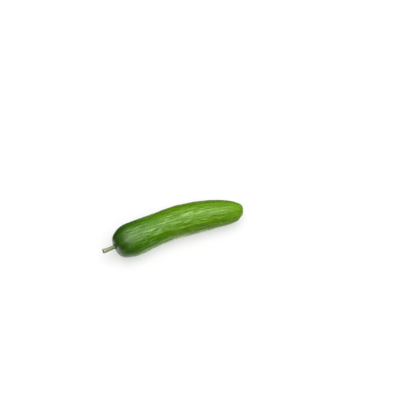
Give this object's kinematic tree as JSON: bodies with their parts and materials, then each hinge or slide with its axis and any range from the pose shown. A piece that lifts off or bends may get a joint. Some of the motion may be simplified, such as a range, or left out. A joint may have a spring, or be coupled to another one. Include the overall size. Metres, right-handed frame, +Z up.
{
  "type": "cucumber",
  "caption": "Short, smooth, gently bent cucumber lying on its side, darker at the stem end, with its cut stem.",
  "frame": {"origin": "on the surface that the cucumber lies on, under the middle of the whole object's box", "axes": "+X along the fruit towards the blossom end, +Y towards the outer side of its bend, +Z up"},
  "size_m": [0.1554, 0.0394, 0.0339],
  "materials": {
    "skin": "satin",
    "stem": "matte"
  },
  "bodies": {
    "root": {"fruit": "skin", "stem": "stem"}
  },
  "joints": []
}
